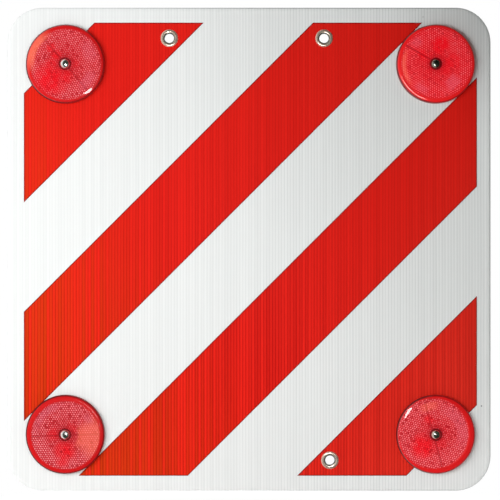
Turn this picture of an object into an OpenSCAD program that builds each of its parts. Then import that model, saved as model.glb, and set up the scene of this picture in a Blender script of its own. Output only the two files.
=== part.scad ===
// Overhanging load sign: a fluted plastic board with red stripes, four round reflectors and three eyelets.
// The sign stands upright: +X is to the right as seen from the front, +Z is up, and the front faces -Y.
// Shapes are drawn as seen from the front, with heights measured towards the viewer from the board's face.

/* [Board] */
// Width of the board, across the flutes
board_w = 500; // [380:1:800]
// Height of the board, along the flutes
board_h = 500; // [380:1:800]
// Thickness of the fluted sheet
board_t = 3; // [2.4:0.1:6]
// Radius of the board's corners
corner_r = 36; // [12:1:60]
// Distance from one web to the next
flute_pitch = 3.08; // [2.4:0.01:8]
// Thickness of the webs between the flutes
web_t = 0.35; // [0.2:0.05:0.8]
// Thickness of the sheet's front and back skins
skin_t = 0.35; // [0.2:0.05:0.6]
// Least thickness of the solid wall at the cut sides
side_wall = 0.6; // [0.4:0.1:3]
// Width of the band that the cutting die pressed down round the front edge
press_w = 4; // [1:0.5:10]
// Depth to which the outline was pressed down
press_drop = 0.9; // [0.3:0.1:1.2]

/* [Print] */
// Margin from the board's edges to the striped field
print_margin = 15.5; // [8:0.5:40]
// Width of each stripe, red or white
stripe_w = 80; // [40:1:140]
// Thickness of the ink
ink_t = 0.1; // [0.05:0.05:0.3]
// How far the print and the reflectors sit to the right of the board's centre
print_shift = 1.4; // [-4:0.1:4]

/* [Reflectors] */
// Diameter of each reflector
reflector_d = 81.6; // [50:0.1:100]
// Distance of the reflectors' centres from the board's edges
reflector_edge = 58.6; // [54:0.1:90]
// Depth of each reflector, from its seat to its face
reflector_h = 7.5; // [5:0.1:14]
// Thickness of the lens's front wall
lens_wall = 2.2; // [1.5:0.1:3.5]
// Thickness of the lens's skirt
skirt_t = 1.6; // [1:0.1:3]
// Radius between the lens's face and its side
shoulder_r = 4; // [1.8:0.1:4.5]
// Diameter of the field of prisms behind the lens's face
prism_field_d = 69; // [30:0.5:70]
// Distance from one row of prisms to the next
prism_pitch = 2; // [1.5:0.1:6]
// Depth of the prisms
prism_h = 1; // [0.4:0.1:1.5]
// Thickness of the pad that the prisms stand on
prism_pad = 0.2; // [0.1:0.1:0.5]
// Number of sectors in the field of prisms
prism_sectors = 6; // [3:1:12]
// Width of the groove between two sectors
sector_gap = 0.4; // [0.2:0.1:2]
// Diameter of the boss round the rivet
boss_d = 12; // [9:0.5:20]
// Thickness of the reflector's back plate
back_t = 1.5; // [1:0.1:2.5]

/* [Rivets] */
// Diameter of the rivet's domed head
head_d = 10.6; // [8:0.1:16]
// Height of the rivet's domed head
head_h = 3.9; // [2:0.1:4]
// Diameter of the rivet's shank
shank_d = 4.8; // [4:0.1:6]
// Diameter of the hollow in the shank's end
tube_d = 3.2; // [1.2:0.1:3.6]
// Diameter of the rivet's rolled tail
tail_d = 8; // [6.8:0.1:12]
// Diameter of the washer under the tail
washer_d = 14; // [9:0.5:24]
// Thickness of the washer under the tail
washer_t = 0.8; // [0.4:0.1:2]

/* [Eyelets] */
// Diameter of the clear hole through each eyelet
eyelet_bore = 9.5; // [6:0.1:14]
// Width of the eyelet's front flange, from the bore's wall to the rim
flange_w = 4.45; // [3.9:0.05:6]
// Height of the eyelet's front flange
flange_h = 1.6; // [1.2:0.1:2]
// Thickness of the eyelet's metal
eyelet_t = 0.55; // [0.3:0.05:0.8]
// Radius of the curl that holds the eyelet at the back
curl_r = 1.3; // [1:0.1:1.8]
// Width of the ring under the curl, from the bore's wall to the rim
ring_w = 4.45; // [3.8:0.05:8]
// Thickness of the ring under the curl
ring_t = 0.7; // [0.4:0.1:1.5]
// Distance of the eyelets' centres from the board's upper or lower edge
eyelet_edge = 31.6; // [22:0.1:60]
// Distance between the two upper eyelets
upper_gap = 160.2; // [60:0.1:290]
// How far the middle of the upper pair sits to the right of the board's centre
upper_shift = -2.4; // [-40:0.1:40]
// How far the lower eyelet sits to the right of the board's centre
lower_shift = 83.7; // [-120:0.1:120]

/* [Fits] */
// Gap all round between a shank or barrel and its hole
hole_clearance = 0.15; // [0.05:0.05:0.4]
// Gap all round between the back plate and the lens's skirt
plate_clearance = 0.2; // [0.05:0.05:0.5]

/* [Hidden] */
$fn = 96;

// Where the reflectors sit on the face
reflector_x = board_w / 2 - reflector_edge;
reflector_z = board_h / 2 - reflector_edge;
upper_left = [print_shift - reflector_x, reflector_z];
upper_right = [print_shift + reflector_x, reflector_z];
lower_left = [print_shift - reflector_x, -reflector_z];
lower_right = [print_shift + reflector_x, -reflector_z];
reflector_spots = [upper_left, upper_right, lower_left, lower_right];

// How far each lens happens to be turned about its rivet
turn_upper_left = 18;
turn_upper_right = 48;
turn_lower_left = 0;
turn_lower_right = 10;

// Where the eyelets sit on the face
eyelet_z = board_h / 2 - eyelet_edge;
eyelet_upper_left = [upper_shift - upper_gap / 2, eyelet_z];
eyelet_upper_right = [upper_shift + upper_gap / 2, eyelet_z];
eyelet_lower = [lower_shift, -eyelet_z];
eyelet_spots = [eyelet_upper_left, eyelet_upper_right, eyelet_lower];

// Heights above the board's face, positive towards the viewer
seat = ink_t;
lens_face = seat + reflector_h;
head_top = lens_face + head_h;
board_back = -board_t;
washer_back = board_back - washer_t;
ring_back = board_back - ring_t;
tail_roll = (tail_d - tube_d) / 4;
rear_reach = max(washer_t + tail_roll, ring_t + curl_r);
// The board's face lies where the middle of the whole depth comes to y = 0
face_y = (head_top - board_t - rear_reach) / 2;

// Flutes that fit between the side walls, centred on the board
flute_count = floor((board_w - 2 * side_wall + web_t) / flute_pitch);
flute_w = flute_pitch - web_t;

// Holes
shank_hole_r = shank_d / 2 + hole_clearance;
bore_r = eyelet_bore / 2;
barrel_r = bore_r + eyelet_t;
ring_hole_r = barrel_r + hole_clearance;
// The front flange is part of a rolled ring, whose middle lies a little below the flange's seat
flange_roll = fine(flange_w + flange_h - sqrt(2 * flange_w * flange_h));
flange_mid_r = bore_r + flange_roll;
flange_dip = flange_roll - flange_h;
// Under the flange the barrel is widest where it enters the board
neck_r = flange_mid_r - sqrt(pow(flange_roll - eyelet_t, 2) - pow(flange_dip, 2));
eyelet_hole_r = neck_r + hole_clearance;

// How far a shape sinks into the one it is joined to, and how far a cutter runs past what it cuts
sink = 0.05;
past = 1;

// Rounds a worked-out size to a ten-thousandth, so that outlines that share an edge meet exactly
function fine(size) = round(size * 10000) / 10000;

// Puts what is drawn as seen from the front on the board, at a height above its face
module on_face(height = 0, spot = [0, 0]) {
    translate([spot[0], face_y - height, spot[1]])
        rotate([90, 0, 0])
            children();
}

// Round holes of one radius at several spots, through a plate that stands on height 0
module drill(spots, radius, depth) {
    for (spot = spots)
        translate([spot[0], spot[1], -past])
            cylinder(r = radius, h = depth + 2 * past);
}

// Surface that the die pressed down, from the flat face out to the outline: x runs outwards
function press_arc(reach, depth, steps = 6) =
    let (radius = (press_w * press_w + press_drop * press_drop) / (2 * press_drop))
    [for (i = [0 : steps])
        let (out = press_w * i / steps)
        [reach - press_w + out, depth - radius + sqrt(radius * radius - out * out)]];

// Section through the plate's edge: flat at x = 0 and pressed down at its reach
module edge_section(reach, depth, beyond) {
    polygon(concat(
        [[-past, 0], [-past, depth]],
        press_arc(reach, depth),
        beyond > 0 ? [[reach + beyond, depth - press_drop]] : [],
        [[reach + beyond, 0]]
    ));
}

// A plate with rounded corners and a pressed front edge, from height 0 to its depth.
// Beyond the board's outline it can run on at the height of the pressed rim.
module pressed_plate(depth, beyond = 0) {
    inner_w = board_w / 2 - corner_r;
    inner_h = board_h / 2 - corner_r;
    for (side = [0, 180])
        rotate([0, 0, side]) {
            translate([inner_w, inner_h, 0])
                rotate([90, 0, 0])
                    linear_extrude(2 * inner_h)
                        edge_section(corner_r, depth, beyond);
            translate([-inner_w, inner_h, 0])
                rotate([90, 0, 90])
                    linear_extrude(2 * inner_w)
                        edge_section(corner_r, depth, beyond);
        }
    for (x = [-1, 1], y = [-1, 1])
        translate([x * inner_w, y * inner_h, 0])
            rotate([0, 0, atan2(y, x) - 45])
                rotate_extrude(angle = 90)
                    intersection() {
                        edge_section(corner_r, depth, beyond);
                        square([corner_r + beyond + past, depth]);
                    }
    translate([-inner_w, -inner_h, 0])
        cube([2 * inner_w, 2 * inner_h, depth]);
}

// The space inside the flutes: it follows the pressed edge and opens at the upper and lower ends
module flutes() {
    intersection() {
        translate([0, 0, skin_t])
            pressed_plate(board_t - 2 * skin_t, past);
        for (i = [0 : flute_count - 1])
            translate([(i - flute_count / 2) * flute_pitch + web_t / 2, -board_h / 2 - past, 0])
                cube([flute_w, board_h + 2 * past, board_t]);
    }
}

// White board of fluted sheet: two skins joined by upright webs
module board() {
    color("white")
        on_face(board_back)
            difference() {
                pressed_plate(board_t);
                flutes();
                drill(reflector_spots, shank_hole_r, board_t);
                drill(eyelet_spots, eyelet_hole_r, board_t);
            }
}

// Red stripes, rising to the right, cut off at the edge of the printed field
module red_print() {
    field_w = board_w - 2 * print_margin;
    field_h = board_h - 2 * print_margin;
    pairs = ceil((field_w + field_h) / sqrt(8) / (2 * stripe_w));
    stripe_l = field_w + field_h;
    color("red")
        on_face()
            difference() {
                linear_extrude(ink_t)
                    translate([print_shift, 0])
                        intersection() {
                            square([field_w, field_h], center = true);
                            rotate(45)
                                for (i = [-pairs : pairs])
                                    translate([-stripe_l / 2, (2 * i + 0.5) * stripe_w])
                                        square([stripe_l, stripe_w]);
                        }
                drill(reflector_spots, shank_hole_r, ink_t);
                drill(eyelet_spots, eyelet_hole_r, ink_t);
            }
}

// Rows of prisms in one sector, pointing back, which run out along the sector's middle
module prism_rows() {
    half = 180 / prism_sectors;
    field_r = prism_field_d / 2;
    root = -prism_pad - sink;
    rows = ceil(field_r * sin(min(half, 90)) / prism_pitch);
    intersection() {
        rotate([90, 0, 90])
            linear_extrude(field_r)
                polygon(concat(
                    [[-rows * prism_pitch, 0]],
                    [for (i = [-rows : rows - 1], tip = [0, 1])
                        [(i + tip / 2) * prism_pitch, root - tip * prism_h]],
                    [[rows * prism_pitch, root], [rows * prism_pitch, 0]]
                ));
        translate([sector_gap / 2 / sin(half), 0, root - prism_h - past])
            linear_extrude(prism_h - root + past)
                polygon([[0, 0], 2 * field_r * [cos(half), sin(half)], 2 * field_r * [cos(half), -sin(half)]]);
        translate([0, 0, root - prism_h - past])
            rotate([0, 0, 90])
                cylinder(r = field_r, h = prism_h - root + past);
    }
}

// Half section of a round cap that stands on y = 0, with a rounded shoulder
module cap_section(radius, height, round_r) {
    square([radius, height - round_r]);
    square([radius - round_r, height]);
    translate([radius - round_r, height - round_r])
        intersection() {
            circle(r = round_r);
            square(round_r);
        }
}

// Red lens: a shallow cap with prisms behind its face and a boss round the rivet
module lens(spot, turn) {
    outer_r = reflector_d / 2;
    cavity_top = reflector_h - lens_wall;
    color("crimson")
        on_face(seat, spot)
            rotate([0, 0, turn])
                difference() {
                    union() {
                        rotate_extrude()
                            difference() {
                                cap_section(outer_r, reflector_h, shoulder_r);
                                cap_section(outer_r - skirt_t, cavity_top, max(shoulder_r - skirt_t, sink));
                                translate([0, -past])
                                    square([outer_r - skirt_t, 2 * past]);
                            }
                        translate([0, 0, cavity_top - prism_pad])
                            cylinder(d = prism_field_d + 2 * sector_gap, h = prism_pad + sink);
                        translate([0, 0, cavity_top])
                            for (i = [0 : prism_sectors - 1])
                                rotate([0, 0, (i + 0.5) * 360 / prism_sectors])
                                    prism_rows();
                        translate([0, 0, back_t])
                            cylinder(d = boss_d, h = cavity_top - back_t + sink);
                    }
                    drill([[0, 0]], shank_hole_r, reflector_h);
                }
}

// Back plate that closes the lens, set inside its skirt and flush with it
module back_plate(spot) {
    color("dimgray")
        on_face(seat, spot)
            difference() {
                cylinder(r = reflector_d / 2 - skirt_t - plate_clearance, h = back_t);
                drill([[0, 0]], shank_hole_r, back_t);
            }
}

// Half disc of a rolled edge, below the line y = 0
module roll_section(radius) {
    intersection() {
        circle(r = radius);
        translate([-radius, -radius])
            square([2 * radius, radius]);
    }
}

// Domed rivet: its shank passes through everything and its hollow end is rolled over at the back
module rivet(spot) {
    dome_r = (pow(head_d / 2, 2) + head_h * head_h) / (2 * head_h);
    shank_l = lens_face - washer_back;
    color("silver")
        on_face(lens_face, spot)
            difference() {
                rotate_extrude() {
                    intersection() {
                        translate([0, head_h - dome_r])
                            circle(r = dome_r);
                        square([head_d, head_h]);
                    }
                    translate([0, -shank_l])
                        square([shank_d / 2, shank_l + sink]);
                    translate([tube_d / 2 + tail_roll, -shank_l])
                        roll_section(tail_roll);
                }
                translate([0, 0, -shank_l - tail_roll - past])
                    cylinder(d = tube_d, h = past + tail_roll + washer_t + board_t);
            }
}

// Flat ring laid against the board's back
module back_ring(spot, radius, hole_r, thickness) {
    on_face(board_back - thickness, spot)
        difference() {
            cylinder(r = radius, h = thickness);
            drill([[0, 0]], hole_r, thickness);
        }
}

// Washer under a rivet's tail
module washer(spot) {
    color("lightgray")
        back_ring(spot, washer_d / 2, shank_hole_r, washer_t);
}

// Ring under an eyelet's curl
module ring(spot) {
    color("lightgray")
        back_ring(spot, bore_r + ring_w, ring_hole_r, ring_t);
}

// Eyelet: a rolled front flange, a straight barrel and a curl that grips the ring at the back
module eyelet(spot) {
    barrel_end = ring_back - seat;
    color("silver")
        on_face(seat, spot)
            rotate_extrude() {
                translate([flange_mid_r, -flange_dip])
                    intersection() {
                        difference() {
                            circle(r = flange_roll);
                            circle(r = flange_roll - eyelet_t);
                        }
                        union() {
                            translate([-flange_roll, 0])
                                square(flange_roll);
                            translate([-sink, flange_dip])
                                square(flange_roll + sink);
                        }
                    }
                translate([bore_r, barrel_end])
                    square([eyelet_t, -flange_dip - barrel_end]);
                translate([bore_r + curl_r, barrel_end])
                    difference() {
                        roll_section(curl_r);
                        circle(r = curl_r - eyelet_t);
                    }
            }
}

board();
red_print();
lens(upper_left, turn_upper_left);  // lens_upper_left
lens(upper_right, turn_upper_right);  // lens_upper_right
lens(lower_left, turn_lower_left);  // lens_lower_left
lens(lower_right, turn_lower_right);  // lens_lower_right
back_plate(upper_left);  // back_upper_left
back_plate(upper_right);  // back_upper_right
back_plate(lower_left);  // back_lower_left
back_plate(lower_right);  // back_lower_right
rivet(upper_left);  // rivet_upper_left
rivet(upper_right);  // rivet_upper_right
rivet(lower_left);  // rivet_lower_left
rivet(lower_right);  // rivet_lower_right
washer(upper_left);  // washer_upper_left
washer(upper_right);  // washer_upper_right
washer(lower_left);  // washer_lower_left
washer(lower_right);  // washer_lower_right
eyelet(eyelet_upper_left);
eyelet(eyelet_upper_right);
eyelet(eyelet_lower);
ring(eyelet_upper_left);  // ring_upper_left
ring(eyelet_upper_right);  // ring_upper_right
ring(eyelet_lower);  // ring_lower
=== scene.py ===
import math

import bpy
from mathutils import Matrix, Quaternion, Vector


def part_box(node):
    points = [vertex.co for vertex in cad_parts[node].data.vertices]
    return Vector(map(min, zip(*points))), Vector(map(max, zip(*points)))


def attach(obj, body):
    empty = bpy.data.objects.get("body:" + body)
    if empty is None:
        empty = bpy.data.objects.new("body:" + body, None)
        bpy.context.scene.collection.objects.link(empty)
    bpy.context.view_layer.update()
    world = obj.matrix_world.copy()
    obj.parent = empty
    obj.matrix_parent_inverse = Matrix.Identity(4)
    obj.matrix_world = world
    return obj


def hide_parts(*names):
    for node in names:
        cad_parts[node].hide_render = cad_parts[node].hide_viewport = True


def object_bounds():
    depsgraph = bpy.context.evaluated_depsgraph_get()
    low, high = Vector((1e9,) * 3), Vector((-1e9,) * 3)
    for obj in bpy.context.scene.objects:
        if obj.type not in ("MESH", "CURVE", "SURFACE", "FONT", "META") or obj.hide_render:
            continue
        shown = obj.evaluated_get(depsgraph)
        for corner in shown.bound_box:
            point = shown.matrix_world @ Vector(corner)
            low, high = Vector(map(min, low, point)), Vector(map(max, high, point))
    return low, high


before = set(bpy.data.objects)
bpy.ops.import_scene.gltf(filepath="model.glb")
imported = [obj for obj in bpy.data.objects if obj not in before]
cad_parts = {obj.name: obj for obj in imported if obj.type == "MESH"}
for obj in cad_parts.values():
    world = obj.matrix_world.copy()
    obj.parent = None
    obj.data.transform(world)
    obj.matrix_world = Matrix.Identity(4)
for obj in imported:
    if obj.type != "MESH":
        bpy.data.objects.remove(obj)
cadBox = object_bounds()

# Camera: square on, about 2.2 m away, as the sign was photographed
shot = {
    "distance": 2.2,
    "fieldWidth": 0.5176,  # what the picture's width takes in at the board
    "aim": (0.00099, -0.00083),  # the point of the board in the middle of the picture
}

lighting = {
    "keyPlace": (-0.54, -0.94, 0.08),
    "keySize": (1.35, 0.7),  # width and height
    "keyPower": 9.4,
    "sparkPlace": (0.0, -0.36, -0.03),  # a slim slanting lamp that only shows as glints in gloss and metal
    "sparkSize": (0.38, 0.075),
    "sparkTurn": -45,
    "sparkPower": 1.4,
    "rearPlace": (1.2, 1.6, 0.9),
    "rearSize": (1.2, 1.2),
    "rearPower": 26,
    "ambient": 0.45,
    "floorDrop": 0.09,  # how far the floor lies below the sign
    "floorRadius": 0.8,
    "floorFade": (0.55, 0.98),  # shares of the radius between which the paper turns to plain white
    "screenRadius": 3.2,
    "screenLeft": -54,  # degrees from straight in front, to the right
    "screenRight": 125,
    "screenLow": -84,
    "screenHigh": 86,
    # A bent black card takes light from the sign's right side and upper right corner: across and up
    "cardPath": [(0.285, -0.2), (0.285, 0.285), (-0.05, 0.31)],
    "cardNear": -0.03,  # its edge beside the sign
    "cardDepth": 0.6,
    # A small black flag before the sign shades its upper right corner
    "flagAcross": (0.12, 0.4),
    "flagUp": (0.165, 0.45),
    "flagPlace": -0.2,
}


# Small helpers for node trees

def addNode(tree, kind, inputs=None, **settings):
    made = tree.nodes.new("ShaderNode" + kind)
    for name, value in settings.items():
        setattr(made, name, value)
    for name, value in (inputs or {}).items():
        if isinstance(value, bpy.types.NodeSocket):
            tree.links.new(value, made.inputs[name])
        else:
            made.inputs[name].default_value = value
    return made


def maths(tree, operation, a, b=0.0, c=0.0, clamp=False):
    return addNode(tree, "Math", {0: a, 1: b, 2: c}, operation=operation, use_clamp=clamp).outputs[0]


def vectors(tree, operation, a, b=(0, 0, 0), c=None):
    inputs = {0: a, 1: b} if c is None else {0: a, 1: b, 2: c}
    made = addNode(tree, "VectorMath", inputs, operation=operation)
    return made.outputs["Value" if operation in ("LENGTH", "DISTANCE", "DOT_PRODUCT") else "Vector"]


def blendColours(tree, share, first, second, mode="MIX"):
    made = addNode(tree, "Mix", data_type="RGBA", blend_type=mode, clamp_factor=True)
    for socket, value in ((made.inputs[0], share), (made.inputs[6], first), (made.inputs[7], second)):
        if isinstance(value, bpy.types.NodeSocket):
            tree.links.new(value, socket)
        else:
            socket.default_value = value
    return made.outputs[2]


def fade(tree, value, low, high, fromShare=0.0, toShare=1.0):
    return addNode(tree, "MapRange", {"Value": value, "From Min": low, "From Max": high,
                                      "To Min": fromShare, "To Max": toShare},
                   interpolation_type="SMOOTHSTEP", clamp=True).outputs["Result"]


def colour(red, green, blue):
    # sRGB numbers from 0 to 255 as the linear values that a shader takes
    def linear(part):
        part /= 255
        return part / 12.92 if part <= 0.04045 else ((part + 0.055) / 1.055) ** 2.4
    return (linear(red), linear(green), linear(blue), 1)


def newGroup(name, inputs, outputs):
    tree = bpy.data.node_groups.new(name, "ShaderNodeTree")
    for label, kind, value in inputs:
        socket = tree.interface.new_socket(label, in_out="INPUT", socket_type="NodeSocket" + kind)
        socket.default_value = value
    for label, kind in outputs:
        tree.interface.new_socket(label, in_out="OUTPUT", socket_type="NodeSocket" + kind)
    return tree, tree.nodes.new("NodeGroupInput").outputs, tree.nodes.new("NodeGroupOutput").inputs


def placeGroup(tree, group, inputs):
    made = tree.nodes.new("ShaderNodeGroup")
    made.node_tree = group
    for name, value in inputs.items():
        if isinstance(value, bpy.types.NodeSocket):
            tree.links.new(value, made.inputs[name])
        else:
            made.inputs[name].default_value = value
    return made.outputs


def newMaterial(name, **values):
    material = bpy.data.materials.new(name)
    material.use_nodes = True
    tree = material.node_tree
    shader = tree.nodes["Principled BSDF"]
    for label, value in values.items():
        shader.inputs[label.replace("_", " ")].default_value = value
    return material, tree, shader, addNode(tree, "TexCoord").outputs["Object"]


def bump(tree, shader, height, distance, strength=1.0):
    made = addNode(tree, "Bump", {"Height": height, "Distance": distance, "Strength": strength})
    tree.links.new(made.outputs["Normal"], shader.inputs["Normal"])


# Effects that more than one material uses

flutes = {
    "pitch": 0.00308,
    "bend": 9,  # how fine the noise is that makes the ribs wander
    "wander": 0.0006,
    "patches": (330, 330, 6),  # long upright patches where the ribs show more or less
    "patchFade": (0.3, 0.7, 0.5, 1),
}


def makeFluteRibs():
    # Upright ribs where the webs hold the skins apart, each flute a little different
    tree, given, result = newGroup(
        "fluteRibs",
        [("Place", "Vector", (0, 0, 0)), ("Pitch", "Float", flutes["pitch"]), ("Web", "Float", 0.3)],
        [("Height", "Float"), ("Line", "Float"), ("Flute", "Float"), ("Patch", "Float")])
    across = addNode(tree, "SeparateXYZ", {0: given["Place"]}).outputs[0]
    bend = addNode(tree, "TexNoise", {"Vector": given["Place"], "Scale": flutes["bend"],
                                      "Detail": 1}).outputs[0]
    wander = maths(tree, "MULTIPLY_ADD", bend, flutes["wander"], across)
    steps = maths(tree, "DIVIDE", wander, given["Pitch"])
    phase = maths(tree, "FRACT", steps)
    fromWeb = maths(tree, "PINGPONG", phase, 0.5)
    line = fade(tree, fromWeb, given["Web"], 0.0)
    number = maths(tree, "FLOOR", steps)
    tone = addNode(tree, "TexWhiteNoise", {"W": number}, noise_dimensions="1D").outputs["Value"]
    stretched = vectors(tree, "MULTIPLY", given["Place"], flutes["patches"])
    patch = addNode(tree, "TexNoise", {"Vector": stretched, "Scale": 1, "Detail": 3,
                                       "Roughness": 0.6}).outputs[0]
    for label, value in (("Height", line), ("Line", line), ("Flute", tone), ("Patch", patch)):
        tree.links.new(value, result[label])
    return tree


scuff = {"turn": (0.3, 0.9, 0.2), "stretch": 14, "scratches": (0.62, 0.72)}


def makeScuffs():
    # Fine scratches and a cloudy bloom, for pressed metal and moulded plastic
    tree, given, result = newGroup(
        "scuffs",
        [("Place", "Vector", (0, 0, 0)), ("Scale", "Float", 600)],
        [("Scratch", "Float"), ("Cloud", "Float")])
    cloud = addNode(tree, "TexNoise", {"Vector": given["Place"], "Scale": given["Scale"], "Detail": 4,
                                       "Roughness": 0.65}).outputs[0]
    turned = addNode(tree, "Mapping", {"Vector": given["Place"], "Rotation": scuff["turn"],
                                       "Scale": (1, 1, scuff["stretch"])}).outputs[0]
    streak = addNode(tree, "TexNoise", {"Vector": turned, "Scale": given["Scale"], "Detail": 2}).outputs[0]
    scratch = fade(tree, streak, *scuff["scratches"])
    tree.links.new(scratch, result["Scratch"])
    tree.links.new(cloud, result["Cloud"])
    return tree


def makePrismField():
    # Six-sided pins behind the lens, in sectors whose rows run out along the seams between them
    tree, given, result = newGroup(
        "prismField",
        [("Place", "Vector", (0, 0, 0)), ("Turn", "Float", 0), ("Sectors", "Float", 6),
         ("Pitch", "Float", 1.8), ("Light", "Float", 2.5)],
        [("Height", "Float"), ("Pin", "Float"), ("Facet", "Float"), ("Groove", "Float"),
         ("Radius", "Float"), ("Angle", "Float")])
    parts = addNode(tree, "SeparateXYZ", {0: given["Place"]}).outputs
    radius = vectors(tree, "LENGTH", given["Place"])
    angle = maths(tree, "ARCTAN2", parts[1], parts[0])
    turned = maths(tree, "WRAP", maths(tree, "SUBTRACT", angle, given["Turn"]), 2 * math.pi, 0)
    width = maths(tree, "DIVIDE", 2 * math.pi, given["Sectors"])
    share = maths(tree, "DIVIDE", turned, width)
    number = maths(tree, "FLOOR", share)
    middle = maths(tree, "MULTIPLY_ADD", maths(tree, "ADD", number, 0.5), width, given["Turn"])
    fromEdge = maths(tree, "MULTIPLY", maths(tree, "PINGPONG", share, 0.5), width)
    groove = maths(tree, "MULTIPLY", maths(tree, "SINE", fromEdge), radius)
    away = maths(tree, "MULTIPLY", middle, -1)
    local = addNode(tree, "VectorRotate", {"Vector": given["Place"], "Angle": away},
                    rotation_type="Z_AXIS").outputs[0]
    step = addNode(tree, "CombineXYZ", {0: maths(tree, "MULTIPLY", given["Pitch"], math.sqrt(3)),
                                        1: given["Pitch"],
                                        2: 1.0}).outputs[0]
    half = vectors(tree, "SCALE", step)
    half.node.inputs["Scale"].default_value = 0.5
    minus = vectors(tree, "SCALE", step)
    minus.node.inputs["Scale"].default_value = -0.5
    first = vectors(tree, "WRAP", local, half, minus)
    second = vectors(tree, "WRAP", vectors(tree, "SUBTRACT", local, half), half, minus)
    closer = maths(tree, "LESS_THAN", vectors(tree, "LENGTH", second), vectors(tree, "LENGTH", first))
    near = addNode(tree, "Mix", {0: closer}, data_type="VECTOR")
    tree.links.new(first, near.inputs[4])
    tree.links.new(second, near.inputs[5])
    near = near.outputs[1]
    counts = vectors(tree, "DIVIDE", vectors(tree, "SUBTRACT", local, near), half)
    counts = vectors(tree, "FLOOR", vectors(tree, "ADD", counts, (0.5, 0.5, 0.5)))
    counts = vectors(tree, "MULTIPLY", counts, (1, 1, 0))
    shifted = vectors(tree, "ADD", counts, addNode(tree, "CombineXYZ", {2: number}).outputs[0])
    pin = addNode(tree, "TexWhiteNoise", {"Vector": shifted}, noise_dimensions="3D").outputs["Value"]
    slopes = [vectors(tree, "DOT_PRODUCT", near, (math.cos(a), math.sin(a), 0))
              for a in (math.pi / 2, 7 * math.pi / 6, 11 * math.pi / 6)]
    steepest = maths(tree, "MAXIMUM", maths(tree, "MAXIMUM", slopes[0], slopes[1]), slopes[2])
    height = maths(tree, "SUBTRACT", 1, maths(tree, "DIVIDE", steepest, given["Pitch"]))
    nearParts = addNode(tree, "SeparateXYZ", {0: near}).outputs
    side = maths(tree, "ADD", maths(tree, "ARCTAN2", nearParts[1], nearParts[0]), -math.pi / 6)
    side = maths(tree, "FLOOR", maths(tree, "DIVIDE", maths(tree, "WRAP", side, 2 * math.pi, 0),
                                      2 * math.pi / 3))
    # A facet is bright where it leans towards the light, so each sector shows rows of its own
    fromLight = maths(tree, "SUBTRACT", middle, given["Light"])
    leans = maths(tree, "MULTIPLY_ADD", side, 2 * math.pi / 3, fromLight)
    facet = maths(tree, "MULTIPLY_ADD", maths(tree, "COSINE", leans), 0.5, 0.5)
    for label, value in (("Height", height), ("Pin", pin), ("Facet", facet), ("Groove", groove),
                         ("Radius", radius), ("Angle", angle)):
        tree.links.new(value, result[label])
    return tree


fluteRibs = makeFluteRibs()
scuffs = makeScuffs()
prismField = makePrismField()


# Materials

board = {
    "white": colour(238, 240, 239),
    "line": colour(217, 220, 219),
    "lineFade": (-0.25, 0.15, 0.3, 1),  # across: the ribs show less at the left
    "fluteTone": 0.25,
    "ribDepth": 0.00005,
    "grime": colour(70, 70, 74),
    # Painted shade along the board's outline, darker at the right and the top
    "paintedEdgeShade": colour(128, 132, 131),
    "paintedEdgeShadeWidth": 0.0016,
    "paintedEdgeShadeSlope": 0.6,  # how much the painted shade depends on height beside the place across
    "paintedEdgeShadeFade": (-0.2, 0.25, 0, 0.8),  # from the lower left to the upper right
    "corner": 0.035,  # radius of the board's corners
    # Specks of dirt: place across and up, radius, darkness
    "specks": [(0.2406, -0.1623, 0.0010, 0.95), (0.1801, 0.2404, 0.0009, 0.4)],
    "speckCore": 0.3,  # share of a speck that is as dark as it gets
}


def makeBoardPlastic():
    material, tree, shader, place = newMaterial("boardPlastic", Roughness=0.48, Specular_IOR_Level=0.12)
    ribs = placeGroup(tree, fluteRibs, {"Place": place, "Pitch": flutes["pitch"]})
    across, _, up = addNode(tree, "SeparateXYZ", {0: place}).outputs
    share = maths(tree, "MULTIPLY", ribs["Line"], fade(tree, ribs["Patch"], *flutes["patchFade"]))
    share = maths(tree, "MULTIPLY", share, fade(tree, across, *board["lineFade"]))
    tint = blendColours(tree, share, board["white"], board["line"])
    tint = blendColours(tree, maths(tree, "MULTIPLY", ribs["Flute"], board["fluteTone"]), tint, board["line"])
    flat = vectors(tree, "MULTIPLY", place, (1, 0, 1))
    # Painted shade along the outline, most of it at the right and the top, away from the lamp
    low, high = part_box("board")
    inside = [(high[i] - low[i]) / 2 - board["corner"] for i in (0, 2)]
    past = vectors(tree, "SUBTRACT", vectors(tree, "ABSOLUTE", flat), (inside[0], 0, inside[1]))
    past = vectors(tree, "LENGTH", vectors(tree, "MAXIMUM", past, (0, 0, 0)))
    paintedEdgeShade = fade(tree, past, board["corner"] - board["paintedEdgeShadeWidth"], board["corner"])
    leaning = maths(tree, "MULTIPLY_ADD", up, board["paintedEdgeShadeSlope"], across)
    paintedEdgeShade = maths(tree, "MULTIPLY", paintedEdgeShade, fade(tree, leaning, *board["paintedEdgeShadeFade"]))
    tint = blendColours(tree, paintedEdgeShade, tint, board["paintedEdgeShade"])
    for x, z, radius, darkness in board["specks"]:
        spot = fade(tree, vectors(tree, "DISTANCE", flat, (x, 0, z)), radius, radius * board["speckCore"], 0,
                    darkness)
        tint = blendColours(tree, spot, tint, board["grime"])
    tree.links.new(tint, shader.inputs["Base Color"])
    bump(tree, shader, ribs["Height"], board["ribDepth"])
    return material


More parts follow.
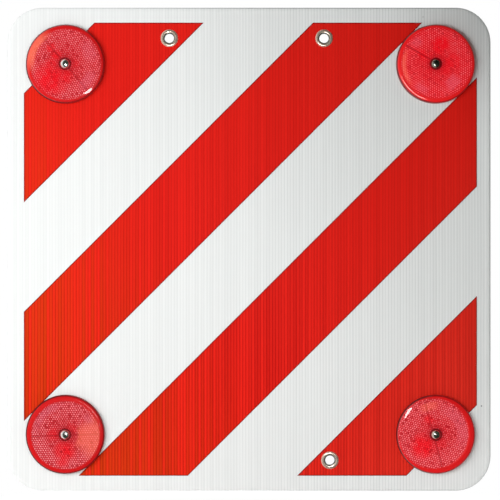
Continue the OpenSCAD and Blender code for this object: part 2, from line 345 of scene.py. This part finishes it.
ink = {
    "red": colour(238, 36, 26),
    "upperRed": colour(230, 34, 26),
    "deep": colour(216, 190, 200),  # multiplies the red on the ribs
    "ribShare": (1.25, 0.5),  # low and high on the sign
    "ribSide": (0, 0.2, 1, 0.7),  # across: the ribs fade to the right
    "fluteTone": 0.6,
    "height": (-0.2, 0.15),  # between these the red turns to the upper red
    "orange": colour(226, 66, 20),
    "orangeSlope": -0.6,  # how much the fading depends on height beside the place across
    "orangeFade": (0.05, 0.38, 0, 0.9),
    "streaks": (1.3, 0.3),  # how much the fading differs from flute to flute, and its least
    "pale": colour(226, 70, 52),
    "paleSlope": 0.7,
    "paleFade": (0.1, 0.36, 0, 0.35),
    "edge": colour(96, 14, 22),
    "edgeWidth": 0.0008,
    "edgeDarkness": 0.9,
    "ribDepth": 0.00005,
    "stripeWidth": 0.08,
}


def makeRedInk():
    material, tree, shader, place = newMaterial("redInk", Roughness=0.5, Specular_IOR_Level=0.01)
    ribs = placeGroup(tree, fluteRibs, {"Place": place, "Pitch": flutes["pitch"]})
    low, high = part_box("red_print")
    middle = (Vector(low) + Vector(high)) / 2
    shifted = vectors(tree, "SUBTRACT", place, tuple(middle))
    across, _, up = addNode(tree, "SeparateXYZ", {0: shifted}).outputs
    share = maths(tree, "MULTIPLY", ribs["Line"], fade(tree, ribs["Patch"], *flutes["patchFade"]))
    # Turning orange towards the lower left corner, more on some flutes than on others
    towardsCorner = maths(tree, "SUBTRACT", maths(tree, "MULTIPLY", up, ink["orangeSlope"]), across)
    orangeShare = fade(tree, towardsCorner, *ink["orangeFade"])
    streaks = maths(tree, "MULTIPLY_ADD", ribs["Flute"], *ink["streaks"])
    tint = blendColours(tree, fade(tree, up, *ink["height"]), ink["red"], ink["upperRed"])
    tint = blendColours(tree, maths(tree, "MULTIPLY", orangeShare, streaks), tint, ink["orange"])
    towardsRight = maths(tree, "SUBTRACT", across, maths(tree, "MULTIPLY", up, ink["paleSlope"]))
    tint = blendColours(tree, fade(tree, towardsRight, *ink["paleFade"]), tint, ink["pale"])
    # The ribs show most low on the sign and at its left
    shown = fade(tree, up, *ink["height"], *ink["ribShare"])
    shown = maths(tree, "MULTIPLY", shown, fade(tree, across, *ink["ribSide"]))
    tint = blendColours(tree, maths(tree, "MULTIPLY", share, shown), tint, ink["deep"], "MULTIPLY")
    tone = maths(tree, "MULTIPLY", ribs["Flute"], maths(tree, "MULTIPLY", shown, ink["fluteTone"]))
    tint = blendColours(tree, tone, tint, ink["deep"], "MULTIPLY")
    # The ink piles up a little and looks darker along every edge of the print
    fromSides = maths(tree, "SUBTRACT", (high[0] - low[0]) / 2, maths(tree, "ABSOLUTE", across))
    fromEnds = maths(tree, "SUBTRACT", (high[2] - low[2]) / 2, maths(tree, "ABSOLUTE", up))
    slant = maths(tree, "DIVIDE", maths(tree, "SUBTRACT", up, across), math.sqrt(2))
    slant = maths(tree, "ADD", maths(tree, "DIVIDE", slant, ink["stripeWidth"]), 0.5)
    fromStripe = maths(tree, "MULTIPLY", maths(tree, "PINGPONG", slant, 0.5), ink["stripeWidth"])
    nearest = maths(tree, "MINIMUM", maths(tree, "MINIMUM", fromSides, fromEnds), fromStripe)
    rimmed = fade(tree, nearest, ink["edgeWidth"] * 2, 0, 0, ink["edgeDarkness"])
    tint = blendColours(tree, rimmed, tint, ink["edge"])
    tree.links.new(tint, shader.inputs["Base Color"])
    bump(tree, shader, ribs["Height"], ink["ribDepth"])
    return material


lens = {
    "pitch": 2.45,  # from one pin to the next, in mm, as all the lens's sizes
    # The pins' field in each lens: its radius and where its middle lies off the rivet's, across and up
    "field": {"upper_left": (36.6, (0.8, -0.6)), "upper_right": (36.8, (0.8, 0.8)),
              "lower_left": (35.4, (0.5, -0.5)), "lower_right": (36.4, (-2.6, 1.2))},
    "bossRadius": 6.4,
    "bossDraft": 0.15,  # how much wider the boss is at its foot
    "boreRadius": 2.6,
    "tubeRadius": 6,  # the boss's tube inside the cap
    "tubeEnd": 1.6,  # height above the seat at which that tube ends
    "faceThickness": 2.2,
    "skirtThickness": 1.6,
    "shoulder": (6.0, 4.0),  # how far in and how far down the rounded rim goes
    "shoulderDip": 0.3,  # how far inside the rim the level floor of the pins starts
    "pinHeight": 0.3,
    "pinFoot": 0.05,  # how far a pin reaches down into that floor
    "rimDrop": 0.15,  # how far the rim starts below the pins' tips
    "gloss": {"lower_left": 0.25},
    "faceGloss": 0.15,  # the face is duller than the rounded rim
    "glossEdge": 1,  # half the width over which the gloss changes
    "steepest": 0.98,  # share of the rounded rim beyond which its normal leans no farther
    "bossGap": 0.7,  # no pin lies nearer to the boss than this share of the pitch
    "lastPin": 37.2,  # no pin lies farther out than this
    "steps": 128,
    "sharpAngle": 30,
    "sectors": 6,
    "light": 140,  # where the light that the facets catch comes from, in degrees
    # Painted reflection: pins are pale where they catch the light and deep red in the rich patches
    "valley": colour(186, 0, 18),
    "peak": colour(255, 158, 166),
    "richValley": colour(212, 0, 16),
    "richPeak": colour(255, 50, 64),
    "shade": colour(110, 8, 16),
    "pit": colour(150, 6, 20),  # pins that look dark, and the seams
    "cloud": 0.12,  # how fine the cloud is that the rich patches and the pits follow
    "patchCore": 0.25,  # share of a rich patch that has its full depth
    "patchCloud": (0.3, 0.55, 0.6, 1),
    "pinFade": (0.62, 0.92),  # height on a pin at which it starts to light up and is lit in full
    "pinChance": (0.5, 0.5),  # how much pins differ in brightness, and the least of it
    "facetChance": (0.7, 0.7),
    "pitShare": (0.17, 0.12),  # about one pin in seven is dark
    "pitCloud": (0.6, 0.4, 0.25, 1),
    "pitFade": (0.5, 0.8),
    "brighter": (6, 30, 0.5, 1.05),  # from the boss outwards
    "bossShade": [(12, 6, 0, 0.25), (7.0, 5.9)],
    "rimStart": (-1.4, 0.8),  # about the field's radius
    "wallStart": (39.0, 39.7),
    "wallSides": (-25, 25),  # across: from the wall's painted dark shade at the lit left to a lighter painted shade at the shaded right
    "pits": {"upper_left": 0.7, "upper_right": 0.3, "lower_left": 0.7, "lower_right": 0.8},
    "rim": colour(203, 18, 22),
    # Painted shade: the lens's wall is painted dark as an outline, lighter on its right
    "wall": colour(92, 12, 16),
    "wallShadeLifted": colour(150, 14, 18),
    # Painted glare: the colours of the warm and the pale arcs on the lenses
    "warmGlare": colour(244, 112, 88),
    "paleGlare": colour(206, 104, 124),
    "paleGlareGrain": (0.5, 0.9, 0.3, 1.3),  # the painted pale glare shows more on the tips of the pins
    "arcCore": 0.3,  # share of an arc's spread that has its full strength
    "arcEdges": (4, 2.5),  # how soft an arc's inner and outer edges are
    # Seams between sectors that show in the photograph, in degrees. The pins run on over the others
    "seams": {"upper_left": (130, 310), "upper_right": (150,), "lower_left": (2, 182),
              "lower_right": (105, 285)},
    "seamShare": 0.45,  # share of the pitch within which a pin lies on the seam
    "seamFade": (1.0, 0.35),  # mm from the seam
    "seamSpread": (0.5, 0.4, 0, 0.6),  # radians from the seam's direction, and its strength
    "paleness": {"upper_left": 0.62, "upper_right": 0.5, "lower_left": 0.8, "lower_right": 0.64},
    "richness": {"upper_left": 0.1, "upper_right": 0.5, "lower_left": 0, "lower_right": 0.15},
    "gain": {"upper_left": 1, "upper_right": 1, "lower_left": 0.97, "lower_right": 1},
    # Painted light: the lens glows with its own colour in place of the light that the prisms send back, so a
    # lens in the dimmer half still looks bright
    "paintedGlow": {"upper_left": 0.11, "upper_right": 0.54, "lower_left": 0.05, "lower_right": 0.33},
    # Each lens: turn about the rivet in degrees, rich patches of painted deep-red reflection (angle,
    # distance, size, depth) and arcs of painted glare (angle, spread, inner and outer radius, strength,
    # colour), in degrees and mm
    "looks": {
        "upper_left": (10, [(228, 22, 25, 1.0), (265, 13, 14, 0.9), (190, 14, 11, 0.8), (131, 22, 7, 0.8),
                            (134, 13, 8, 0.9), (0, 10, 8, 0.4)],
                       [(154, 44, 30, 40, 0.75, "warmGlare"), (-38, 30, 22, 35, 0.3, "paleGlare"),
                        (30, 30, 20, 35, 0.2, "paleGlare")]),
        "upper_right": (30, [(76, 20, 17, 1.0), (8, 18, 16, 0.8), (143, 17, 10, 0.8), (143, 27, 6, 0.6),
                             (-30, 12, 11, 0.7), (240, 12, 8, 0.4)],
                        [(134, 16, 23, 35, 0.2, "paleGlare"), (-50, 24, 18, 33, 0.3, "paleGlare"),
                         (188, 40, 29, 36, 0.4, "warmGlare"), (240, 20, 24, 34, 0.25, "paleGlare")]),
        "lower_left": (2, [(270, 17, 15, 1.0), (265, 28, 9, 0.7), (180, 12, 9, 0.7), (45, 10, 8, 0.4)],
                       [(-6, 52, 12, 37, 0.5, "warmGlare"), (135, 50, 25, 35, 0.35, "paleGlare"),
                        (35, 12, 24, 33, 0.3, "paleGlare")]),
        "lower_right": (45, [(222, 18, 19, 1.0), (115, 17, 8, 0.8), (300, 11, 9, 0.5)],
                        [(20, 60, 20, 34, 0.25, "paleGlare"), (100, 25, 24, 35, 0.3, "warmGlare")]),
    },
}


def lathe(profile, steps):
    # Points and faces of a closed ring whose section is the profile's (radius, height) points
    points = []
    for step in range(steps):
        angle = 2 * math.pi * step / steps
        points += [(r * math.cos(angle), r * math.sin(angle), h) for r, h in profile]
    count = len(profile)
    faces = []
    for step in range(steps):
        here, there = step * count, (step + 1) % steps * count
        for i in range(count):
            j = (i + 1) % count
            faces.append((here + i, there + i, there + j, here + j))
    return points, faces


def rimDepth(radius, out):
    # How far the rounded rim lies below the pins' tips at a distance from the lens's middle
    inwards, downwards = lens["shoulder"]
    along = max((out - radius) / inwards + 1, 0)
    fall = 1 - math.sqrt(max(1 - along ** 2, 0))
    return lens["rimDrop"] + (downwards - lens["rimDrop"]) * fall


def lensProfile(radius, depth):
    # From the seat up the skirt, over the shoulder, down into the pins' field, up the boss and back inside
    inwards = lens["shoulder"][0]
    floorHeight = depth - lens["pinHeight"]
    outs = [radius - inwards * (1 - math.cos(math.radians(a))) for a in range(0, 91, 9)]
    shoulder = [(out, depth - rimDepth(radius, out)) for out in outs]
    ceiling = depth - lens["faceThickness"]
    inner = radius - lens["skirtThickness"]
    return [(radius, 0)] + shoulder + [
        (radius - inwards - lens["shoulderDip"], floorHeight),
        (lens["bossRadius"] + lens["bossDraft"], floorHeight), (lens["bossRadius"], depth),
        (lens["boreRadius"], depth), (lens["boreRadius"], lens["tubeEnd"]),
        (lens["tubeRadius"], lens["tubeEnd"]), (lens["tubeRadius"], ceiling),
        (inner, ceiling), (inner, 0)]


def pinCentres(corner):
    # Six sectors of staggered rows that run out along the seams, as in the shader's field
    turn = lens["looks"][corner][0]
    fieldRadius, shift = lens["field"][corner]
    pitch = lens["pitch"]
    width = 2 * math.pi / lens["sectors"]
    reach = int(fieldRadius / pitch * 2) + 2
    tiny = 0.001
    for sector in range(lens["sectors"]):
        middle = math.radians(turn) + (sector + 0.5) * width
        for i in range(1, reach):
            for j in range(-reach, reach + 1):
                if (i + j) % 2:
                    continue
                x, y = i * pitch * math.sqrt(3) / 2, j * pitch / 2
                out = math.hypot(x, y)
                if out > fieldRadius - pitch / 2:
                    continue
                angle = math.atan2(y, x)
                if abs(angle) > width / 2 + tiny or angle < tiny - width / 2:
                    continue
                onSeam = out * math.sin(width / 2 - abs(angle)) < pitch * lens["seamShare"]
                seam = math.degrees(middle + math.copysign(width / 2, angle))
                off = [abs((seam - shown + 180) % 360 - 180) for shown in lens["seams"][corner]]
                if onSeam and min(off) < 1:
                    continue
                across = x * math.cos(middle) - y * math.sin(middle) + shift[0]
                up = x * math.sin(middle) + y * math.cos(middle) + shift[1]
                if lens["bossRadius"] + pitch * lens["bossGap"] < math.hypot(across, up) < lens["lastPin"]:
                    yield across, up, middle


def makeLensShape(corner, low, high):
    # A smooth cap with a field of low six-sided pins, laid out where the shader paints them
    mm = 0.001
    radius, depth = (high[0] - low[0]) / 2 / mm, (high[1] - low[1]) / mm
    points, faces = lathe(lensProfile(radius, depth), lens["steps"])
    smooth = len(faces)
    side = lens["pitch"] / math.sqrt(3)
    for x, y, middle in pinCentres(corner):
        start = len(points)
        # On the rim the pins stand lower and follow its fall
        out = math.hypot(x, y)
        peak = depth - max(rimDepth(radius, out) - lens["rimDrop"], 0)
        foot = peak - lens["pinHeight"] - lens["pinFoot"]
        for k in range(6):
            angle = middle + math.radians(60 * k)
            points.append((x + side * math.cos(angle), y + side * math.sin(angle), foot))
        points.append((x, y, peak))
        faces += [(start + k, start + (k + 1) % 6, start + 6) for k in range(6)]
        faces.append(tuple(start + k for k in range(5, -1, -1)))
    centre = (low + high) / 2
    mesh = bpy.data.meshes.new("lens_" + corner)
    mesh.from_pydata([(centre.x + x * mm, high.y - h * mm, centre.z + y * mm) for x, y, h in points],
                     [], faces)
    mesh.polygons.foreach_set("use_smooth", [i < smooth for i in range(len(faces))])
    mesh.set_sharp_from_angle(angle=math.radians(lens["sharpAngle"]))
    shape = bpy.data.objects.new("lens_" + corner + "_red", mesh)
    bpy.context.scene.collection.objects.link(shape)
    mesh.materials.append(makeLensRed(corner, centre, low, high))
    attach(shape, "root")
    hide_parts("lens_" + corner)


def aside(tree, angle, degrees):
    # How far an angle lies from a direction, either way
    past = maths(tree, "SUBTRACT", angle, math.radians(degrees))
    return maths(tree, "ABSOLUTE", maths(tree, "WRAP", past, math.pi, -math.pi))


def makeLensRed(corner, centre, low, high):
    turn, patches, arcs = lens["looks"][corner]
    material, tree, shader, place = newMaterial("lensRed_" + corner, Roughness=0.4, Coat_Weight=1,
                                                Coat_Roughness=0.03, Specular_IOR_Level=0.1)
    shifted = vectors(tree, "SUBTRACT", place, tuple(centre))
    inMm = vectors(tree, "MULTIPLY", shifted, (1000, 1000, 1000))
    parts = addNode(tree, "SeparateXYZ", {0: inMm}).outputs
    flat = addNode(tree, "CombineXYZ", {0: parts[0], 1: parts[2]}).outputs[0]
    fieldRadius, shift = lens["field"][corner]
    field = placeGroup(tree, prismField, {"Place": vectors(tree, "SUBTRACT", flat, (*shift, 0)),
                                          "Turn": math.radians(turn), "Pitch": lens["pitch"],
                                          "Light": math.radians(lens["light"])})
    radius = vectors(tree, "LENGTH", flat)
    # Painted reflection: rich patches of deep red, and pale tips and facets on the pins where they catch the
    # light
    deepness = lens["richness"][corner]
    for angle, reach, size, depth in patches:
        middle = (reach * math.cos(math.radians(angle)), reach * math.sin(math.radians(angle)), 0)
        spot = fade(tree, vectors(tree, "DISTANCE", flat, middle), size, size * lens["patchCore"], 0,
                    depth)
        deepness = maths(tree, "MAXIMUM", spot, deepness)
    cloud = addNode(tree, "TexNoise", {"Vector": flat, "Scale": lens["cloud"], "Detail": 2}).outputs[0]
    deepness = maths(tree, "MULTIPLY", deepness, fade(tree, cloud, *lens["patchCloud"]))
    lit = fade(tree, field["Height"], *lens["pinFade"])
    strength = maths(tree, "MULTIPLY_ADD", field["Pin"], *lens["pinChance"])
    facet = maths(tree, "MULTIPLY_ADD", field["Facet"], *lens["facetChance"])
    strength = maths(tree, "MULTIPLY", strength, facet)
    strength = maths(tree, "MULTIPLY", strength, lens["paleness"][corner])
    strength = maths(tree, "MULTIPLY", strength, fade(tree, radius, *lens["brighter"]))
    lit = maths(tree, "MULTIPLY", lit, strength, clamp=True)
    usual = blendColours(tree, lit, lens["valley"], lens["peak"])
    rich = blendColours(tree, lit, lens["richValley"], lens["richPeak"])
    tint = blendColours(tree, deepness, usual, rich)
    # Here and there a pin sends no light back and looks dark, most of all where the cloud is thin
    pit = fade(tree, field["Pin"], *lens["pitShare"], 0, lens["pits"][corner])
    pit = maths(tree, "MULTIPLY", pit, fade(tree, cloud, *lens["pitCloud"]))
    pit = maths(tree, "MULTIPLY", pit, fade(tree, field["Height"], *lens["pitFade"]))
    tint = blendColours(tree, pit, tint, lens["pit"])
    for angle in lens["seams"][corner]:
        seam = fade(tree, field["Groove"], *lens["seamFade"])
        near = fade(tree, aside(tree, field["Angle"], angle), *lens["seamSpread"])
        seam = maths(tree, "MULTIPLY", seam, near)
        tint = blendColours(tree, seam, tint, lens["pit"])
    for fading in lens["bossShade"]:
        tint = blendColours(tree, fade(tree, radius, *fading), tint, lens["shade"])
    start, end = lens["rimStart"]
    onRim = fade(tree, field["Radius"], fieldRadius + start, fieldRadius + end)
    tint = blendColours(tree, onRim, tint, lens["rim"])
    # Painted glare: warm and pale arcs that stand for reflections of the studio's light
    rise, fall = lens["arcEdges"]
    for angle, spread, inner, outer, strength, kind in arcs:
        spread = math.radians(spread)
        share = fade(tree, aside(tree, field["Angle"], angle), spread, spread * lens["arcCore"], 0, strength)
        share = maths(tree, "MULTIPLY", share, fade(tree, radius, inner, inner + rise))
        share = maths(tree, "MULTIPLY", share, fade(tree, radius, outer, outer - fall))
        if kind == "paleGlare":
            share = maths(tree, "MULTIPLY", share, fade(tree, field["Height"], *lens["paleGlareGrain"]))
        tint = blendColours(tree, share, tint, lens[kind])
    # Painted shade: the wall is dark as an outline and painted lighter on its right, the side the lamp
    # doesn't reach
    wall = blendColours(tree, fade(tree, parts[0], *lens["wallSides"]), lens["wall"], lens["wallShadeLifted"])
    tint = blendColours(tree, fade(tree, radius, *lens["wallStart"]), tint, wall)
    gain = lens["gain"][corner]
    tint = blendColours(tree, 1.0, tint, (gain, gain, gain, 1), "MULTIPLY")
    tree.links.new(tint, shader.inputs["Base Color"])
    # Painted light: the lens glows with its own colour
    tree.links.new(tint, shader.inputs["Emission Color"])
    shader.inputs["Emission Strength"].default_value = lens["paintedGlow"][corner]
    # The clear coat lies level over the pins and rounds off over the shoulder, as the real lens's face does
    inwards, downwards = lens["shoulder"]
    rim = (high[0] - low[0]) * 500
    along = maths(tree, "DIVIDE", maths(tree, "SUBTRACT", radius, rim - inwards), inwards)
    along = maths(tree, "MINIMUM", maths(tree, "MAXIMUM", along, 0), lens["steepest"])
    level = maths(tree, "SQRT", maths(tree, "SUBTRACT", 1, maths(tree, "MULTIPLY", along, along)))
    slope = maths(tree, "MULTIPLY", maths(tree, "DIVIDE", along, level), downwards / inwards)
    outwards = vectors(tree, "NORMALIZE", vectors(tree, "MULTIPLY", inMm, (1, 0, 1)))
    leaning = addNode(tree, "VectorMath", {0: outwards, "Scale": slope}, operation="SCALE").outputs[0]
    normal = vectors(tree, "NORMALIZE", vectors(tree, "ADD", leaning, (0, -1, 0)))
    tree.links.new(normal, shader.inputs["Coat Normal"])
    rimInside, soft = rim - inwards, lens["glossEdge"]
    gloss = fade(tree, radius, rimInside - soft, rimInside + soft, lens["faceGloss"], 1)
    gloss = maths(tree, "MULTIPLY", gloss, lens["gloss"].get(corner, 1))
    tree.links.new(gloss, shader.inputs["Coat Weight"])
    return material


metal = {
    # Each finish: colour, roughness, how fine its marks are and how metallic it is. Some rivets are darker in
    # colour, partly dirt and partly painted darker reflection
    "rivets": {"upper_left": (colour(248, 250, 246), 0.24, 500, 1),
               "upper_right": (colour(140, 144, 134), 0.22, 500, 1),
               "lower_left": (colour(240, 240, 236), 0.26, 500, 1),
               "lower_right": (colour(206, 198, 186), 0.22, 500, 1)},
    "eyelet": (colour(238, 218, 198), 0.26, 500, 0.72),
    "washer": (colour(176, 178, 176), 0.32, 400, 1),
    "tarnish": colour(120, 118, 108),
    "tarnishFade": (0.45, 0.75, 0, 0.5),
    "roughSpread": (0.15, -0.06),  # the cloud's share in the roughness, and what is taken off first
    "scratchDepth": 0.000004,
    "bore": colour(74, 76, 64),  # the eyelet's throat, darker than the rest
    "boreFade": (0.006272, 0.00532),  # radii between which it darkens
}


def makeMetal(name, base, roughness, scale, metallic, throat=None):
    # Tarnished in a cloudy way. An eyelet is also dark inside its throat
    material, tree, shader, place = newMaterial(name, Metallic=metallic)
    marks = placeGroup(tree, scuffs, {"Place": place, "Scale": scale})
    tint = blendColours(tree, fade(tree, marks["Cloud"], *metal["tarnishFade"]), base, metal["tarnish"])
    if throat:
        out = vectors(tree, "DISTANCE", vectors(tree, "MULTIPLY", place, (1, 0, 1)), throat)
        tint = blendColours(tree, fade(tree, out, *metal["boreFade"]), tint, metal["bore"])
    tree.links.new(tint, shader.inputs["Base Color"])
    spread, less = metal["roughSpread"]
    rough = maths(tree, "MULTIPLY_ADD", marks["Cloud"], spread, roughness + less)
    tree.links.new(rough, shader.inputs["Roughness"])
    bump(tree, shader, marks["Scratch"], metal["scratchDepth"])
    return material


back = {"grey": colour(58, 60, 62), "pale": colour(74, 76, 78), "grain": 350, "grainDepth": 0.00003}


def makeBackPlastic():
    material, tree, shader, place = newMaterial("backPlastic", Roughness=0.5)
    marks = placeGroup(tree, scuffs, {"Place": place, "Scale": back["grain"]})
    tint = blendColours(tree, marks["Cloud"], back["grey"], back["pale"])
    tree.links.new(tint, shader.inputs["Base Color"])
    bump(tree, shader, marks["Cloud"], back["grainDepth"])
    return material


def dress(node, material):
    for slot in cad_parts[node].material_slots:
        slot.material = material


boardPlastic = makeBoardPlastic()
redInk = makeRedInk()
washerMetal = makeMetal("washerMetal", *metal["washer"])
backPlastic = makeBackPlastic()
dress("board", boardPlastic)
dress("red_print", redInk)
for corner in lens["looks"]:
    low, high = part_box("lens_" + corner)
    makeLensShape(corner, Vector(low), Vector(high))
    dress("back_" + corner, backPlastic)
    dress("rivet_" + corner, makeMetal("rivetMetal_" + corner, *metal["rivets"][corner]))
    dress("washer_" + corner, washerMetal)
for spot in ("upper_left", "upper_right", "lower"):
    low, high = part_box("eyelet_" + spot)
    throat = ((low[0] + high[0]) / 2, 0, (low[2] + high[2]) / 2)
    dress("eyelet_" + spot, makeMetal("eyeletMetal_" + spot, *metal["eyelet"], throat))
    dress("ring_" + spot, washerMetal)
print("materials are on the packed pieces")


# Studio

def makeFloor():
    # A round sheet of pale paper that ends below the picture and fades to white at its rim
    low = cadBox[0][2] - lighting["floorDrop"]
    radius = lighting["floorRadius"]
    near, far = lighting["floorFade"]
    steps = 96
    rim = [(radius * math.cos(2 * math.pi * i / steps), radius * math.sin(2 * math.pi * i / steps), low)
           for i in range(steps)]
    mesh = bpy.data.meshes.new("floor")
    mesh.from_pydata(rim, [], [tuple(range(steps))])
    floor = bpy.data.objects.new("floor", mesh)
    bpy.context.scene.collection.objects.link(floor)
    material, tree, shader, place = newMaterial("floorPaper", Roughness=0.9, Specular_IOR_Level=0.1)
    flat = vectors(tree, "MULTIPLY", place, (1, 1, 0))
    out = fade(tree, vectors(tree, "LENGTH", flat), radius * near, radius * far)
    grain = addNode(tree, "TexNoise", {"Vector": place, "Scale": 240, "Detail": 3}).outputs[0]
    paper = blendColours(tree, grain, colour(240, 240, 239), colour(246, 246, 245))
    tree.links.new(blendColours(tree, out, paper, (0, 0, 0, 1)), shader.inputs["Base Color"])
    tree.links.new(blendColours(tree, out, (0, 0, 0, 1), (1, 1, 1, 1)), shader.inputs["Emission Color"])
    shader.inputs["Emission Strength"].default_value = 1
    mesh.materials.append(material)
    floor.visible_glossy = False


def hangCard(mesh, material):
    card = bpy.data.objects.new(mesh.name, mesh)
    bpy.context.scene.collection.objects.link(card)
    mesh.materials.append(material)
    card.visible_camera = False


def makeScreen():
    # A dark screen bowed round the front, right and top of the sign, which only shines in gloss and metal
    across, up = 24, 16
    radius = lighting["screenRadius"]
    left, right = lighting["screenLeft"], lighting["screenRight"]
    bottom, top = lighting["screenLow"], lighting["screenHigh"]
    points = []
    for row in range(up + 1):
        rise = math.radians(bottom + (top - bottom) * row / up)
        for column in range(across + 1):
            turn = math.radians(left + (right - left) * column / across)
            points.append((radius * math.cos(rise) * math.sin(turn),
                           -radius * math.cos(rise) * math.cos(turn),
                           radius * math.sin(rise)))
    wide = across + 1
    faces = [(i, i + 1, i + 1 + wide, i + wide)
             for row in range(up) for i in range(row * wide, row * wide + across)]
    mesh = bpy.data.meshes.new("darkScreen")
    mesh.from_pydata(points, [], faces)
    screen = bpy.data.objects.new("darkScreen", mesh)
    bpy.context.scene.collection.objects.link(screen)
    material, tree, shader, place = newMaterial("screenBlack", Roughness=1.0, Specular_IOR_Level=0)
    weave = addNode(tree, "TexNoise", {"Vector": place, "Scale": 2}).outputs[0]
    tree.links.new(blendColours(tree, weave, (0.015, 0.022, 0.016, 1), (0.09, 0.12, 0.09, 1)),
                   shader.inputs["Base Color"])
    mesh.materials.append(material)
    screen.visible_camera = False
    screen.visible_shadow = False
    screen.visible_diffuse = False
    hangCards(material)


def hangCards(material):
    # The bent card at the right and the top, and the flag before the upper right corner
    bends = lighting["cardPath"]
    edges = (lighting["cardNear"], -lighting["cardDepth"])
    mesh = bpy.data.meshes.new("blackCard")
    mesh.from_pydata([(x, y, z) for x, z in bends for y in edges], [],
                     [(i, i + 1, i + 3, i + 2) for i in range(0, 2 * len(bends) - 2, 2)])
    hangCard(mesh, material)
    left, right = lighting["flagAcross"]
    bottom, top = lighting["flagUp"]
    mesh = bpy.data.meshes.new("blackFlag")
    mesh.from_pydata([(x, lighting["flagPlace"], z)
                      for x, z in ((left, bottom), (right, bottom), (right, top), (left, top))],
                     [], [(0, 1, 2, 3)])
    hangCard(mesh, material)


def makeLamp(name, place, size, power, turn=0):
    light = bpy.data.lights.new(name, "AREA")
    light.shape = "ELLIPSE"
    light.size, light.size_y = size
    light.energy = power
    lamp = bpy.data.objects.new(name, light)
    bpy.context.scene.collection.objects.link(lamp)
    lamp.location = place
    facing = (Vector((0, 0, 0)) - Vector(place)).to_track_quat("-Z", "Y")
    lamp.rotation_euler = (facing @ Quaternion((0, 0, 1), math.radians(turn))).to_euler()
    lamp.visible_camera = False
    return lamp


def makeWorld():
    world = bpy.data.worlds.new("studio")
    bpy.context.scene.world = world
    world.use_nodes = True
    tree = world.node_tree
    path = addNode(tree, "LightPath").outputs
    seen = maths(tree, "MAXIMUM", maths(tree, "MAXIMUM", path["Is Camera Ray"], path["Is Glossy Ray"]),
                 path["Is Transmission Ray"])
    strength = addNode(tree, "MapRange", {"Value": seen, "To Min": lighting["ambient"],
                                          "To Max": 1.0}).outputs["Result"]
    tree.links.new(strength, tree.nodes["Background"].inputs["Strength"])
    tree.nodes["Background"].inputs["Color"].default_value = (1, 1, 1, 1)


def makeCamera():
    camera = bpy.data.objects.new("camera", bpy.data.cameras.new("camera"))
    bpy.context.scene.collection.objects.link(camera)
    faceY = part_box("board")[0][1]
    camera.location = (shot["aim"][0], faceY - shot["distance"], shot["aim"][1])
    camera.rotation_euler = (math.pi / 2, 0, 0)
    sensor = 36
    camera.data.sensor_width = sensor
    camera.data.lens = sensor * shot["distance"] / shot["fieldWidth"]
    bpy.context.scene.camera = camera


makeFloor()
makeScreen()
for part in ("key", "spark", "rear"):
    lamp = makeLamp(part + "Lamp", lighting[part + "Place"], lighting[part + "Size"],
                    lighting[part + "Power"], lighting.get(part + "Turn", 0))
    lamp.visible_glossy = part != "key"
    lamp.visible_diffuse = part != "spark"
makeWorld()
makeCamera()
bpy.context.scene.view_settings.view_transform = "Standard"
print("studio is set")
